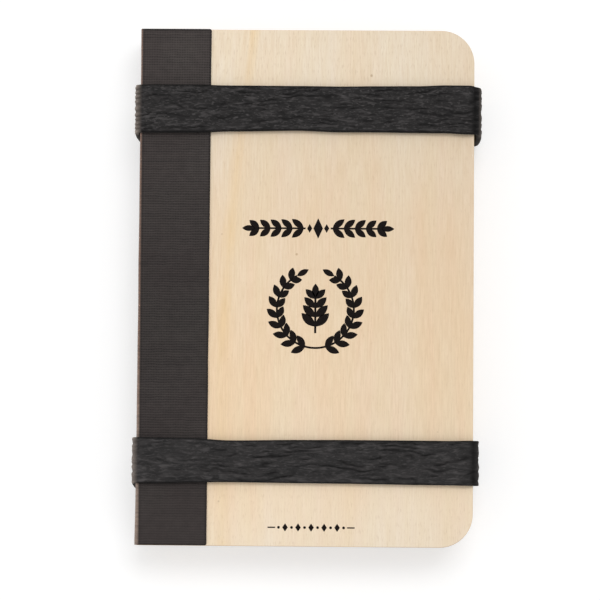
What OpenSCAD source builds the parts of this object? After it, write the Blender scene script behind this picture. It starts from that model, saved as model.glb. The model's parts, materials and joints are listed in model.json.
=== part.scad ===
// A pocket flower press made like a small book. Two thin plywood covers are joined by a
// bookcloth spine, corrugated dividers and blotting paper lie between them, and two
// elastic loops hold the stack shut.
// It lies flat with its front cover up. +X points to the fore edge, +Y to the head and +Z
// out of the front cover. The origin is under the middle of the closed press, on the
// surface that the loops rest on.

/* [Covers] */
// Width of a plywood cover, from the spine edge to the fore edge
cover_w = 90; // [75:1:140]
// Height of a plywood cover, from head to tail
cover_h = 140; // [110:1:220]
// Thickness of the plywood
ply_t = 3; // [2:0.5:6]
// Radius of the two fore-edge corners of a cover
corner_r = 9; // [5:0.5:16]

/* [Bookcloth] */
// Thickness of the bookcloth
cloth_t = 0.4; // [0.2:0.1:0.8]
// Width of the cloth on the outside of each cover, from the board's spine edge
flap_w = 18.5; // [12:0.5:30]
// How far the cloth bows out between the two folds
spine_bulge = 0.5; // [0.2:0.1:1.5]
// Thickness of the paper that lines the spine
lining_t = 0.3; // [0.2:0.1:0.6]

/* [Leaves] */
// Number of corrugated dividers, with two blotters between each pair
divider_count = 5; // [2:1:9]
// Thickness of a corrugated divider
divider_t = 1.5; // [1.2:0.1:3]
// Thickness of the flat paper on each side of the flutes
liner_t = 0.25; // [0.15:0.05:0.4]
// Distance from one flute to the next
flute_pitch = 3.3; // [2.5:0.1:5]
// Thickness of the fluted paper, measured along the sheet
flute_wall = 0.3; // [0.2:0.05:0.5]
// Width of the flute where it meets the flat paper
flute_crest = 0.4; // [0.3:0.05:0.6]
// Thickness of a blotter
blotter_t = 0.35; // [0.2:0.05:0.8]
// How far the leaves stand back from the head, the tail and the fore edge of the covers
leaf_margin = 1.5; // [1:0.25:3]
// How far the leaves stand back from the spine edge of the covers
leaf_spine_gap = 2.5; // [1.5:0.25:5]

/* [Elastic loops] */
// Width of an elastic loop
band_w = 12.2; // [8:0.2:18]
// Thickness of the elastic
band_t = 1.3; // [0.8:0.1:2]
// Distance from the head or the tail to the middle of a loop
band_inset = 22; // [12:1:40]
// Room between a loop and the bookcloth
band_gap = 0.1; // [0.05:0.05:0.3]
// Radius inside the loop at a corner of the press
band_bend_r = 0.6; // [0.5:0.05:0.7]
// Width of the thread that closes a loop
thread_w = 0.5; // [0.3:0.1:0.8]
// Thickness of that thread
thread_t = 0.35; // [0.2:0.05:0.5]
// Length of one zigzag stitch along the seam
stitch_step = 1.1; // [0.8:0.1:2]
// Width of the zigzag seam
seam_w = 3; // [2:0.5:6]

/* [Hidden] */
// Room between the thread and the elastic that it is sewn into
thread_gap = 0.05;
// How far the thread lies above the underside of the elastic
thread_sink = 0.1;
// Overrun of every cut and clip
overrun = 1;
// Facets of the long shallow arc of the spine, and of the other round stretches
arc_fn = 720;
round_fn = 96;

blotter_count = 2 * (divider_count - 1);

// Heights, from the underside of the loops upwards
back_flap_z = band_t + band_gap;
back_board_z = back_flap_z + cloth_t;
stack_z = back_board_z + ply_t;
stack_t = divider_count * divider_t + blotter_count * blotter_t;
front_board_z = stack_z + stack_t;
front_flap_z = front_board_z + ply_t;
press_top_z = front_flap_z + cloth_t;
loop_top_z = press_top_z + band_gap + band_t;
spine_mid_z = (back_flap_z + press_top_z) / 2;

// Places across the press: the loops reach past the spine and past the fore edge
spine_reach = lining_t + cloth_t + spine_bulge + band_gap + band_t;
fore_reach = band_gap + band_t;
loop_w = spine_reach + cover_w + fore_reach;
spine_x = -loop_w / 2 + spine_reach;
fore_x = spine_x + cover_w;
// The folds of the cloth, which are also the two hinge lines of the spine
fold_x = spine_x - lining_t - cloth_t;
flap_edge_x = spine_x + flap_w;

// The spine's outer arc runs through both folds
fold_span = press_top_z - back_flap_z;
spine_r = (pow(fold_span / 2, 2) + pow(spine_bulge, 2)) / (2 * spine_bulge);
spine_arc_x = fold_x - spine_bulge + spine_r;

// The leaves
leaf_x = spine_x + leaf_spine_gap;
leaf_fore_x = fore_x - leaf_margin;
leaf_h = cover_h - 2 * leaf_margin;
leaf_r = corner_r - leaf_margin;
flute_wide = flute_pitch - flute_crest - 2 * flute_wall;
flute_count = floor((leaf_h - flute_wide) / flute_pitch);
flutes_y = -flute_count * flute_pitch / 2;

// The loops, with the seam in the middle of the run under the back cover
band_y = cover_h / 2 - band_inset;
stitch_count = floor((band_w - stitch_step) / stitch_step);
seam_y = -stitch_count * stitch_step / 2;

wood_colour = "#E8D6B6";
cloth_colour = "#3F3B3A";
lining_colour = "#CFC5B2";
kraft_colour = "#B9905F";
blotter_colour = "#EFEADF";
elastic_colour = "#343333";
thread_colour = "#232222";

// Height at which a divider starts, counted from the back cover
function divider_z(i) = stack_z + (i - 1) * (divider_t + 2 * blotter_t);

// Height at which a blotter starts: two lie on each divider but the last
function blotter_z(i) = divider_z(ceil(i / 2)) + divider_t + (1 - i % 2) * blotter_t;

// Draws a flat outline at a height and gives it a thickness
module slab(z, t) {
    translate([0, 0, z]) linear_extrude(t) children();
}

// Turns an outline drawn in X and Z into a bar that runs from the tail to the head
module head_to_tail(length) {
    translate([0, length / 2, 0]) rotate([90, 0, 0]) linear_extrude(length) children();
}

// Outline of a cover or leaf: square at the spine, rounded at the fore edge
module book_outline(left, right, height, r) {
    translate([left, -height / 2]) square([right - r - left, height]);
    translate([right - r, r - height / 2]) square([r, height - 2 * r]);
    for (side = [-1, 1])
        translate([right - r, side * (height / 2 - r)]) circle(r = r, $fn = round_fn);
}

// Outline of a rectangle with four rounded corners
module rounded_outline(left, right, low, high, r) {
    translate([left + r, low]) square([right - left - 2 * r, high - low]);
    translate([left, low + r]) square([right - left, high - low - 2 * r]);
    for (x = [left + r, right - r], z = [low + r, high - r])
        translate([x, z]) circle(r = r, $fn = round_fn);
}

module cover_board(z) {
    color(wood_colour)
        slab(z, ply_t) book_outline(spine_x, fore_x, cover_h, corner_r);
}

// One strip of cloth covers the spine and the edge of both covers. It is drawn in three
// lengths that meet on a mitre at each fold, because the folds are where the book opens.
module back_flap() {
    color(cloth_colour)
        head_to_tail(cover_h) polygon([
            [fold_x, back_flap_z],
            [flap_edge_x, back_flap_z],
            [flap_edge_x, back_board_z],
            [fold_x + cloth_t, back_board_z],
        ]);
}

module front_flap() {
    color(cloth_colour)
        head_to_tail(cover_h) polygon([
            [fold_x, press_top_z],
            [flap_edge_x, press_top_z],
            [flap_edge_x, front_flap_z],
            [fold_x + cloth_t, front_flap_z],
        ]);
}

// The room between the two mitres, deep enough for the cloth and its lining
module spine_wedge() {
    depth = cloth_t + lining_t;
    polygon([
        [fold_x, back_flap_z],
        [fold_x + depth, back_flap_z + depth],
        [fold_x + depth, press_top_z - depth],
        [fold_x, press_top_z],
        [fold_x - spine_bulge - overrun, press_top_z],
        [fold_x - spine_bulge - overrun, back_flap_z],
    ]);
}

// A layer of the spine, from one radius of its shallow arc inwards
module spine_layer(outer_r, t) {
    head_to_tail(cover_h) intersection() {
        spine_wedge();
        translate([spine_arc_x, spine_mid_z]) difference() {
            circle(r = outer_r, $fn = arc_fn);
            circle(r = outer_r - t, $fn = arc_fn);
        }
    }
}

module spine_cloth() {
    color(cloth_colour) spine_layer(spine_r, cloth_t);
}

module spine_lining() {
    color(lining_colour) spine_layer(spine_r - cloth_t, lining_t);
}

// Outline of one flute channel, wide at the bottom and narrow at the top
module flute_channel() {
    polygon([
        [-flute_wide / 2, liner_t],
        [flute_wide / 2, liner_t],
        [flute_crest / 2, divider_t - liner_t],
        [-flute_crest / 2, divider_t - liner_t],
    ]);
}

// The corrugated board seen from the fore edge: two flat papers with the flutes between
// them, as channels that stand alternately upright and upside down
module corrugated_outline() {
    difference() {
        translate([-leaf_h / 2, 0]) square([leaf_h, divider_t]);
        for (i = [0 : flute_count]) translate([flutes_y + i * flute_pitch, 0]) flute_channel();
        for (i = [1 : flute_count])
            translate([flutes_y + (i - 1 / 2) * flute_pitch, divider_t])
                mirror([0, 1]) flute_channel();
    }
}

// The flutes run from the spine to the fore edge, so that they breathe at the open side
module divider(i) {
    color(kraft_colour)
        translate([0, 0, divider_z(i)]) intersection() {
            translate([leaf_x, 0, 0]) rotate([90, 0, 90])
                linear_extrude(leaf_fore_x - leaf_x) corrugated_outline();
            slab(0, divider_t) book_outline(leaf_x, leaf_fore_x, leaf_h, leaf_r);
        }
}

module blotter(i) {
    color(blotter_colour)
        slab(blotter_z(i), blotter_t) book_outline(leaf_x, leaf_fore_x, leaf_h, leaf_r);
}

// The line that the zigzag stitch follows, and the same line drawn with a width
function seam_points() = [
    for (i = [0 : stitch_count])
        [(i % 2 == 0 ? -1 : 1) * (seam_w - thread_w) / 2, seam_y + i * stitch_step]
];

module seam_outline(width) {
    points = seam_points();
    last = len(points) - 1;
    polygon(concat(
        [for (i = [0 : last]) points[i] - [width / 2, 0]],
        [for (i = [last : -1 : 0]) points[i] + [width / 2, 0]]
    ));
}

// An elastic loop round the whole press. side is 1 near the head and -1 near the tail.
module elastic_loop(side) {
    bend_r = band_bend_r + band_t;
    color(elastic_colour)
        translate([0, side * band_y, 0]) difference() {
            head_to_tail(band_w) difference() {
                rounded_outline(-loop_w / 2, loop_w / 2, 0, loop_top_z, bend_r);
                rounded_outline(
                    -loop_w / 2 + band_t, loop_w / 2 - band_t, band_t, loop_top_z - band_t,
                    band_bend_r
                );
            }
            slab(-overrun, overrun + thread_sink + thread_t)
                seam_outline(thread_w + 2 * thread_gap);
        }
}

// The zigzag stitch that joins the two ends of the elastic
module loop_stitching(side) {
    color(thread_colour)
        translate([0, side * band_y, 0]) slab(thread_sink, thread_t) seam_outline(thread_w);
}

cover_board(back_board_z);  // back_board
back_flap();
spine_cloth();
spine_lining();
cover_board(front_board_z);  // front_board
front_flap();
for (i = [1 : divider_count]) divider(i);
for (i = [1 : blotter_count]) blotter(i);
elastic_loop(1);  // upper_band
loop_stitching(1);  // upper_band_stitching
elastic_loop(-1);  // lower_band
loop_stitching(-1);  // lower_band_stitching
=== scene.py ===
# %% [markdown]
# # A pocket flower press
# The press is made like a small book: two thin birch plywood covers, a dark bookcloth spine,
# corrugated dividers with blotting paper between them, and two crinkled black elastic loops
# that hold it shut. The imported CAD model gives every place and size, so this lesson starts by
# loading it, and each piece below is modelled where its CAD solid lies.

# %% Load the frame
import json
import math
import random
from contextlib import contextmanager
from functools import partial

import bmesh
import bpy
from mathutils import Matrix, Vector, noise


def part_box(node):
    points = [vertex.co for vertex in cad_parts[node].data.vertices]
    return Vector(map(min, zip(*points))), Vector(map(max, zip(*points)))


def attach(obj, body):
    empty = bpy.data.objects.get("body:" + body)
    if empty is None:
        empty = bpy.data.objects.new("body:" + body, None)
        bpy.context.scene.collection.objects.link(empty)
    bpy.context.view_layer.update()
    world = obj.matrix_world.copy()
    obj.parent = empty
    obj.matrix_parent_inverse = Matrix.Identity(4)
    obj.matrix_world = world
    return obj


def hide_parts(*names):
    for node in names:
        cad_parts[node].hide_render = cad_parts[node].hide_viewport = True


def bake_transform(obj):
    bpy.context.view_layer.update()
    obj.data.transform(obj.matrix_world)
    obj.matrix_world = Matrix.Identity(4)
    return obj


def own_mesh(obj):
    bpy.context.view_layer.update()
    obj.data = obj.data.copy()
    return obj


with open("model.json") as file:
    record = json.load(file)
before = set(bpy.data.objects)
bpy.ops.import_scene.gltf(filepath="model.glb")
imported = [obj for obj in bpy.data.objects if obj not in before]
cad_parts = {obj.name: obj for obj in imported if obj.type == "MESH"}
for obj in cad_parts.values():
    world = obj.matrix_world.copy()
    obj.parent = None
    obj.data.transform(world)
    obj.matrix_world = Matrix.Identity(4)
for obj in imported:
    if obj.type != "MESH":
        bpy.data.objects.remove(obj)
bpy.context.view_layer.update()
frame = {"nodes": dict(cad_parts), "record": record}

MM = 0.001
board_low, board_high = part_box("front_board")
flap_low, flap_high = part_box("front_flap")

# %% [markdown]
# ## Camera
# The press was photographed from almost straight above. The camera could be placed by eye,
# but the four corners of the front cover are enough to work out where it stood, so it gets
# that place, that tilt and that lens, for a square picture.

# %% Camera
CAMERA_PLACE = Vector((9.4, -45.6, 668.1)) * MM
CAMERA_TILT = [math.radians(angle) for angle in (3.70, 0.91, 0.47)]
SENSOR_WIDTH = 36  # in millimetres, and so is the lens
LENS = 144.6

bpy.ops.object.camera_add(location=CAMERA_PLACE, rotation=CAMERA_TILT)
camera = bpy.context.object
camera.data.sensor_width = SENSOR_WIDTH
camera.data.lens = LENS
bpy.context.scene.camera = camera
bpy.context.scene.view_settings.view_transform = "Standard"
print("the camera stands", round(CAMERA_PLACE.z / MM), "mm above the floor")

# %% [markdown]
# ## One function for nodes
# Every finish below is a small network of shader nodes. Each node needs the same three
# things: its kind, its settings, and what goes into its sockets. One function does that. The
# kind of a math node is followed by its operation. The values fill the sockets in order, or
# by name or number if they come as a dictionary. A number or a hex colour is set on the
# socket, and a node is linked to it from the first of its outputs that is in use.

# %% Nodes and colours
SOCKETS = {  # the nodes whose useful sockets aren't the first ones in order
    "Mix": (0, 6, 7),
    "VectorMath Scale": (0, 3),
    "TexNoise": ("Vector", "Scale", "Detail", "Distortion"),
}


def linear(hex_colour):
    """Turns an sRGB hex colour into the linear colour that Blender works with."""
    parts = [int(hex_colour[i:i + 2], 16) / 255 for i in (1, 3, 5)]
    return [p / 12.92 if p <= 0.04045 else ((p + 0.055) / 1.055) ** 2.4 for p in parts] + [1]


def add_node(tree, kind, *values, **settings):
    """Adds a shader node with its settings, and sets or links its input sockets."""
    sockets = zip(SOCKETS.get(kind, range(len(values))), values)
    if values and isinstance(values[0], dict):
        sockets = values[0].items()
    kind, _, operation = kind.partition(" ")
    node = tree.nodes.new("ShaderNode" + kind)
    if operation:
        node.operation = operation.upper().replace(" ", "_")
    if kind == "Mix":
        node.data_type = "RGBA"
    for name, value in settings.items():
        setattr(node, name, value)
    for key, value in sockets:
        if isinstance(value, bpy.types.Node):
            value = next(output for output in value.outputs if output.enabled)
        if isinstance(value, bpy.types.NodeSocket):
            tree.links.new(value, node.inputs[key])
        else:
            node.inputs[key].default_value = linear(value) if isinstance(value, str) else value
    return node


def empty_nodes(owner):
    """Clears the nodes of a material or a world, and gives the function that adds new ones."""
    owner.use_nodes = True
    owner.node_tree.nodes.clear()
    return partial(add_node, owner.node_tree)


def new_material(name):
    """Starts an empty material, and gives it with the function that adds its nodes."""
    material = bpy.data.materials.new(name)
    return material, empty_nodes(material)


def finish_material(add, colour, relief, bump_strength, bump_mm, **sockets):
    """Ends a material with one Principled shader, whose own sockets are set by name."""
    bump = add("Bump", {"Strength": bump_strength, "Distance": bump_mm * MM, "Height": relief})
    values = {key.replace("_", " "): value for key, value in sockets.items()}
    add("OutputMaterial", add("BsdfPrincipled", {"Base Color": colour, "Normal": bump, **values}))


def place_in_mm(add):
    """The place of each point on its piece, in millimetres, which stays when the piece moves."""
    return add("VectorMath Scale", add("TexCoord").outputs["Object"], 1 / MM)


print("the cloth's dark brown is", [round(c, 3) for c in linear("#3D3937")[:3]], "in linear light")

# %% [markdown]
# ## Floor and light
# The press lies on white paper that fades to pure white, with a soft shadow below the tail
# and a fainter one beside the spine. A very bright lamp would bleach the wood too. So the
# light is plain, most of it comes from all sides, and a wide soft lamp hangs over the head
# of the press, a little to the right. A weak one stands very low beside the spine, and brings
# out the folds there. The floor is white paper for the light that it sends back up. For the
# camera it is half paper and half a glow of its own, which keeps the shadow as faint as it
# should be.

# %% Floor, lamp and world
FLOOR_SIZE = 4.0
PAPER_WHITE = 0.9  # what the paper sends back to the press
PAPER_SEEN = 0.59  # the share of white that the camera sees as lit paper
PAPER_GLOW = 0.49  # the share that it sees as glow
KEY_PLACE = Vector((0.30, 0.78, 1.84))
KEY_SIZE = (1.0, 0.72)
KEY_POWER = 13.8
SIDE_PLACE = Vector((-1.20, 0.15, 0.06))
SIDE_SIZE = (0.45, 0.08)
SIDE_POWER = 10.5
FILL_STRENGTH = 0.66
WHITE = (1, 1, 1, 1)


def seen_directly(add):
    """1 for the camera, and for what gloss or glass shows it, and 0 for all other light."""
    ray = add("LightPath")
    seen = add("Math Maximum", ray.outputs["Is Camera Ray"], ray.outputs["Is Glossy Ray"])
    return add("Math Maximum", seen, ray.outputs["Is Transmission Ray"])


bpy.ops.mesh.primitive_plane_add(size=FLOOR_SIZE)
floor = bpy.context.object
floor.name = "paper_floor"
paper_floor, add = new_material("white paper backdrop")
seen = seen_directly(add)
white = add("MapRange", {0: seen, 3: PAPER_WHITE, 4: PAPER_SEEN})
lit = add("BsdfDiffuse", white)
glow = add("Emission", WHITE, add("Math Multiply", seen, PAPER_GLOW))
add("OutputMaterial", add("AddShader", lit, glow))
floor.data.materials.append(paper_floor)

for place, size, power in ((KEY_PLACE, KEY_SIZE, KEY_POWER), (SIDE_PLACE, SIDE_SIZE, SIDE_POWER)):
    bpy.ops.object.light_add(type="AREA", location=place)
    lamp = bpy.context.object
    lamp.data.shape = "RECTANGLE"
    lamp.data.size, lamp.data.size_y = size
    lamp.data.energy = power
    lamp.rotation_euler = (-place).to_track_quat("-Z", "Y").to_euler()

world = bpy.data.worlds.new("soft studio")
bpy.context.scene.world = world
add = empty_nodes(world)
fill = add("Background", WHITE, FILL_STRENGTH)
add("OutputWorld", add("MixShader", seen_directly(add), fill, add("Background", WHITE, 1)))
print("the key lamp is", round(KEY_PLACE.length, 2), "m away")

# %% [markdown]
# ## Helpers for modelling
# An operator works on all that is selected, and the imported CAD solids are selected after
# loading. So every step first selects just its own piece. Inside edit mode, faces, edges and
# points are chosen by a test on their place, which is what a hand would do with the mouse.

# %% Selecting and editing
TINY = 0.01 * MM


def select_only(*pieces):
    """Selects these pieces and nothing else, and makes the first one active."""
    bpy.ops.object.select_all(action="DESELECT")
    for piece in pieces:
        piece.select_set(True)
    if pieces:
        bpy.context.view_layer.objects.active = pieces[0]


@contextmanager
def editing(piece):
    """Opens a piece in edit mode for the lines of a with block."""
    select_only(piece)
    bpy.ops.object.mode_set(mode="EDIT")
    yield
    bpy.ops.object.mode_set(mode="OBJECT")


def pick(piece, kind, test):
    """Selects the VERT, EDGE or FACE parts of a piece in edit mode that pass a test."""
    bpy.ops.mesh.select_mode(type=kind)
    bpy.ops.mesh.select_all(action="DESELECT")
    mesh = bmesh.from_edit_mesh(piece.data)
    parts = {"VERT": mesh.verts, "EDGE": mesh.edges, "FACE": mesh.faces}[kind]
    for part in [part for part in parts if test(part)]:
        part.select_set(True)
    mesh.select_flush_mode()
    bmesh.update_edit_mesh(piece.data)


def runs_along(edge, axis):
    """True if an edge runs along one axis: 0, 1 or 2 for X, Y or Z."""
    way = edge.verts[0].co - edge.verts[1].co
    return abs(way[axis]) > 0.999 * way.length


def apply_place():
    """Moves the place, turn and size of what is selected into its mesh."""
    bpy.ops.object.transform_apply(location=True, rotation=True, scale=True)


def start_block(name, low, high):
    """Adds a cube that fills the space between two corners."""
    select_only()
    low, high = Vector(low), Vector(high)
    bpy.ops.mesh.primitive_cube_add(size=1, location=(low + high) / 2)
    piece = bpy.context.object
    piece.name = piece.data.name = name
    piece.scale = high - low
    apply_place()
    return piece


def portion(value, start, over):
    """How far a value has come along a stretch, from 0 before it to 1 beyond it."""
    return max(0, min(1, (value - start) / over))


def copy_of(model):
    """A copy of a piece with its own mesh."""
    piece = model.copy()
    piece.data = model.data.copy()
    bpy.context.collection.objects.link(piece)
    return piece


def add_modifier(piece, kind, **settings):
    """Adds a modifier, sets it and applies it."""
    select_only(piece)
    modifier = piece.modifiers.new(kind.lower(), kind)
    for name, value in settings.items():
        setattr(modifier, name, value)
    bpy.ops.object.modifier_apply(modifier=modifier.name)


def face_outwards(piece):
    """Merges doubled points and turns every face outwards."""
    with editing(piece):
        bpy.ops.mesh.select_all(action="SELECT")
        bpy.ops.mesh.remove_doubles(threshold=TINY / 10)
        bpy.ops.mesh.normals_make_consistent(inside=False)


def finish_piece(piece, material, smooth_angle=35):
    """Gives a piece its material and its smooth shading, and says how large its mesh is."""
    piece.data.materials.clear()
    piece.data.materials.append(material)
    select_only(piece)
    bpy.ops.object.shade_smooth_by_angle(angle=math.radians(smooth_angle))
    print(piece.name, "has", len(piece.data.polygons), "faces")


def seat(piece, body, slot, *nodes):
    """Makes a piece ride on a body, in place of these CAD nodes. Its slot is not used."""
    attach(piece, body)
    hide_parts(*nodes)


print("helpers are ready")

# %% [markdown]
# ## Birch plywood, the finish
# The covers are three plies of birch, rotary cut, sanded and left bare. To the eye that is a
# pale cream with soft pinkish drifts, hair-fine fibres and short dark dashes from head to
# tail, one yellow streak where the veneer met sapwood, and a few specks. The cut edge shows
# the plies: long grain is pale, end grain is darker, and a thin brown line of glue lies
# between them. All of it reads Object coordinates in millimetres, so that it stays in place
# when a cover opens. The streak and the drifts lean and curve a little, and the fine fibres
# run straight.

# %% Birch plywood
GRAIN_LEAN = 0.0557  # how far the grain leans across for each millimetre towards the head
GRAIN_CURVE = 0.00079  # how much the lean grows for each millimetre towards the head
STREAK_X = -21.1  # where the yellow streak crosses the middle of the cover
STREAK_WIDTH = 3.2
STRAIGHT_X = 22  # from here to the fore edge the grain runs straight
WARMEST_Y = -12  # the wood is warmest here, a little below the middle
SPECK_STEP = 14  # there is about one speck to a square of this size
PLY = 1.0  # thickness of one ply
GLUE_LINE = 0.06  # half the thickness of the glue


def birch_plywood(name, lowest, board_seed):
    """Sanded birch plywood for a board whose underside is at a height, in metres."""
    material, add = new_material(name)
    place = place_in_mm(add)
    x, y, z = add("SeparateXYZ", place).outputs

    lean = add("Math Multiply Add", y, GRAIN_CURVE, GRAIN_LEAN)
    lean = add("Math Multiply", lean, y)
    lean = add("Math Multiply", lean, add("MapRange", x, STREAK_X, STRAIGHT_X, 1, 0))
    across = add("Math Subtract", x, lean)
    grain = add("CombineXYZ", across, y, board_seed)
    straight = add("CombineXYZ", x, y, board_seed)

    # Each layer of the veneer: the width and the length of its marks in millimetres
    def veneer_noise(width, length, detail, along=grain):
        spot = add("VectorMath Multiply", along, (1 / width, 1 / length, 1))
        return add("TexNoise", spot, 1, detail)

    drift = add("MapRange", veneer_noise(15, 75, 2), 0.36, 0.64)
    bands = add("MapRange", veneer_noise(3.4, 60, 2), 0.35, 0.65)
    fibre = add("MapRange", veneer_noise(0.42, 7.0, 4, straight), 0.34, 0.66)
    dashes = add("MapRange", veneer_noise(0.3, 1.8, 1, straight), 0.57, 0.74)

    # The veneer is warmer below the middle and neutral at the head. Its brightness is painted
    # light:
    # the face is scaled lighter towards the tail and a little lighter at the head, to even out how
    # the lamps fall along the cover.
    from_warm = add("Math Absolute", add("Math Add", y, -WARMEST_Y))
    warm = add("MapRange", from_warm, 26, 72, 0.78, 0.1, interpolation_type="SMOOTHSTEP")
    warm = add("Math Multiply Add", drift, 0.5, warm)
    warm = add("Math Subtract", warm, 0.25, use_clamp=True)
    face = add("Mix", warm, "#ECDECA", "#EACEAE")
    face = add("Mix", add("Math Multiply", bands, 0.4), face, "#E9D8B8")
    pale = add("MapRange", y, -45, 35, 1.080, 0.957)
    head = add("MapRange", y, 42, 62, 0, 0.035)
    pale = add("Math Add", pale, head)
    face = add("VectorMath Scale", face, pale)

    # The yellow streak is a soft band that comes and goes, and breaks up along the fibres
    off = add("Math Absolute", add("Math Subtract", across, STREAK_X))
    ragged = add("Math Multiply Add", veneer_noise(1.1, 40, 2), 4.0, off)
    streak = add("MapRange", ragged, 1.2, 1.8 + STREAK_WIDTH, 1, 0)
    comes = add("MapRange", veneer_noise(30, 22, 1), 0.38, 0.62, 0.25, 0.7)
    face = add("Mix", add("Math Multiply", streak, comes), face, "#E8C896")

    fibrous = add("MapRange", y, -60, -30, 0.14, 0.24)
    face = add("Mix", add("Math Multiply", fibre, fibrous), face, "#C8A87C")
    marked = add("MapRange", from_warm, 22, 80, 0.10, 0.22)
    face = add("Mix", add("Math Multiply", dashes, marked), face, "#A9845A")

    # Specks where small knots were
    cells = add("VectorMath Multiply", grain, (1 / SPECK_STEP, 1 / SPECK_STEP, 1))
    speck = add("TexVoronoi", {"Vector": cells, "Scale": 1})
    face = add("Mix", add("MapRange", speck, 0.018, 0.034, 0.55, 0), face, "#A88862")

    # The cut edge: which ply it is, and how much of its end grain the ply shows there
    depth = add("Math Subtract", z, lowest / MM)
    core = add("Math Compare", depth, 1.5 * PLY, PLY / 2)
    turned = add("VectorMath Absolute", add("TexCoord").outputs["Normal"])
    turned_x, turned_y, turned_z = add("SeparateXYZ", turned).outputs
    ends = add("Math Subtract", turned_y, turned_x)
    ends = add("MapRange", ends, -0.7, 0.7, interpolation_type="SMOOTHSTEP")
    end_grain = add("Math Absolute", add("Math Subtract", core, ends))
    pores = add("MapRange", add("TexNoise", place, 4.5, 2), 0.3, 0.7)
    end_tone = add("Mix", pores, "#A88258", "#CDAA7C")
    side_tone = add("Mix", pores, "#D3B88F", "#E4CDA6")
    edge = add("Mix", end_grain, side_tone, end_tone)
    for line in (PLY, 2 * PLY):
        glue = add("Math Compare", depth, line, GLUE_LINE)
        edge = add("Mix", add("Math Multiply", glue, 0.7), edge, "#7A5430")
    colour = add("Mix", add("MapRange", turned_z, 0.55, 0.85, 1, 0), face, edge)

    # Sanding leaves the fibres a hundredth of a millimetre proud
    finish_material(add, colour, add("Math Subtract", fibre, dashes), 0.35, 0.02, Roughness=0.7,
                    Specular_IOR_Level=0.25)
    return material


front_plywood = birch_plywood("birch plywood, front cover", board_low.z, 3.0)
back_plywood = birch_plywood("birch plywood, back cover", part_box("back_board")[0].z, 21.0)
print("the front cover is", round((board_high.z - board_low.z) / MM / PLY), "plies thick")

# %% [markdown]
# ## Covers
# A cover is a sawn board with square corners at the spine and two round ones at the fore
# edge, and its rims were sanded so that they don't cut the hand. A bevel on two upright
# edges rounds the corners, and a second, very small bevel eases every rim. That is how the
# board was made too, first the saw and then the paper.

# %% Covers
CORNER_R = 9 * MM
RIM_EASE = 0.22 * MM


def rounded_board(name, low, high, corner_r, rim_ease):
    """A board or sheet with two round corners at the fore edge and eased rims."""
    board = start_block(name, low, high)
    with editing(board):
        pick(board, "EDGE", lambda e: runs_along(e, 2) and e.verts[0].co.x > high[0] - TINY)
        bpy.ops.mesh.bevel(offset=corner_r, segments=18, affect="EDGES")
        if rim_ease:
            pick(board, "EDGE", lambda e: abs(e.verts[0].co.z - e.verts[1].co.z) < TINY)
            bpy.ops.mesh.bevel(offset=rim_ease, segments=3, affect="EDGES")
    return board


for side, plywood in (("front", front_plywood), ("back", back_plywood)):
    cover = rounded_board(side + "_cover_board", *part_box(side + "_board"), CORNER_R, RIM_EASE)
    finish_piece(cover, plywood)
    seat(cover, side + "_cover", "plywood", side + "_board")

# %% [markdown]
# ## Bookcloth, the finish
# Bookcloth is a plain weave of dyed cotton, filled with starch so that glue doesn't soak
# through. The eye sees a dark brown grid of threads 0.68 mm apart, a little uneven, with the
# crosswise threads standing out more. The weave is worked out from a height for each of the
# two sets of threads: each is round across its width, and rises and dips along its length as
# it passes over and under the other set. The higher of the two is what shows. The threads
# read the strip's own attribute, which follows the cloth round the fold. Starch fills the
# weave at the tail, the lengthwise threads stand out at the head, and the colour is cloudy
# and lighter towards both ends. The cut edges are darker. The fold is painted paler, a painted
# highlight for the light it catches, beside a crease that is painted dark as shade where the
# bend begins.

# %% Bookcloth
CLOTH_T = flap_high.z - board_high.z
fold_x = flap_low.x
flap_edge_x = flap_high.x
cloth_h = flap_high.y - flap_low.y
THREAD_PITCH = 0.68
CUT_EDGE_WIDTH = 0.5  # how wide the darkened edges are
CREASE_AT = (18.04, 18.5)  # how far from the flap's cut edge the crease lies, at tail and head
FOLD_ENDS = 20.1  # how far from the cut edge the bend is done
DARKEST_Y = -8  # the colour is darkest here, a little below the middle


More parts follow.
